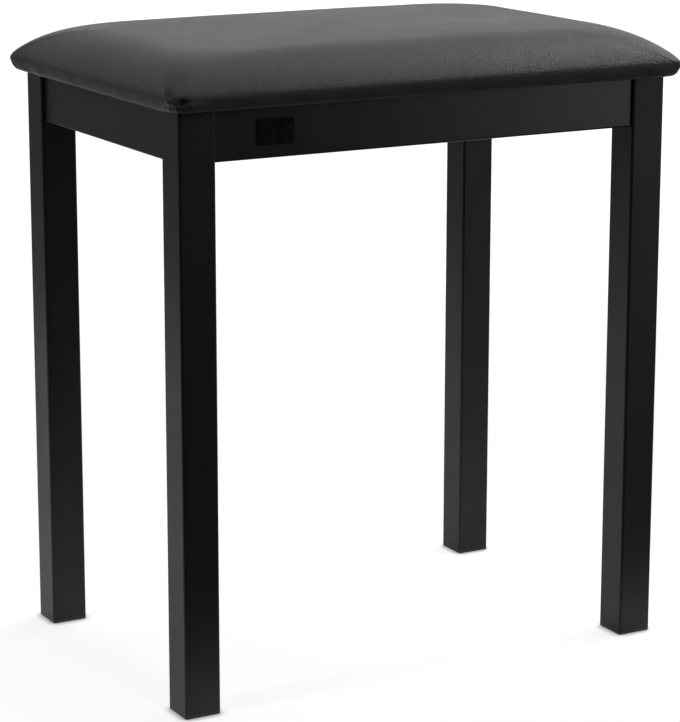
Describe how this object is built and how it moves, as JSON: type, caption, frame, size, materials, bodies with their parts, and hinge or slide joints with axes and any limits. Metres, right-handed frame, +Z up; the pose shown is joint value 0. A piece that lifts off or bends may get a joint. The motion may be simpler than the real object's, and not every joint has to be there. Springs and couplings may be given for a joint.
{
  "type": "piano stool",
  "caption": "Fixed-height piano stool: black square-tube steel frame with straight legs, flat rails and plastic feet under a padded, crowned rectangular seat in black imitation leather.",
  "frame": {"origin": "on the floor under the middle of the seat", "axes": "+X along the length, -Y the front with the badge, +Z up"},
  "size_m": [0.457, 0.31, 0.5075],
  "materials": {
    "frame_coat": "matte black powder coat",
    "foot_plastic": "moulded black",
    "plated_steel": "bright zinc plate",
    "plywood": "sanded plywood",
    "foam": "open-cell foam",
    "seat_leather": "grained black imitation leather",
    "dust_cloth": "black non-woven",
    "badge_gloss": "gloss black, blank"
  },
  "bodies": {
    "root": {"badge": "badge_gloss", "corner_plate_front_left": "frame_coat", "corner_plate_front_right": "frame_coat", "corner_plate_rear_left": "frame_coat", "corner_plate_rear_right": "frame_coat", "dust_sheet": "dust_cloth", "foot_front_left": "foot_plastic", "foot_front_right": "foot_plastic", "foot_rear_left": "foot_plastic", "foot_rear_right": "foot_plastic", "front_rail": "frame_coat", "left_rail": "frame_coat", "leg_front_left": "frame_coat", "leg_front_right": "frame_coat", "leg_rear_left": "frame_coat", "leg_rear_right": "frame_coat", "rail_bolts": "plated_steel", "rail_bracket_front_left": "frame_coat", "rail_bracket_front_right": "frame_coat", "rail_bracket_rear_left": "frame_coat", "rail_bracket_rear_right": "frame_coat", "rail_washers": "plated_steel", "rail_weld_nuts": "plated_steel", "rear_rail": "frame_coat", "right_rail": "frame_coat", "seat_board": "plywood", "seat_bolts": "plated_steel", "seat_cover": "seat_leather", "seat_foam": "foam", "seat_tee_nuts": "plated_steel", "seat_washers": "plated_steel", "staples": "plated_steel", "top_plug_front_left": "foot_plastic", "top_plug_front_right": "foot_plastic", "top_plug_rear_left": "foot_plastic", "top_plug_rear_right": "foot_plastic"}
  },
  "joints": []
}
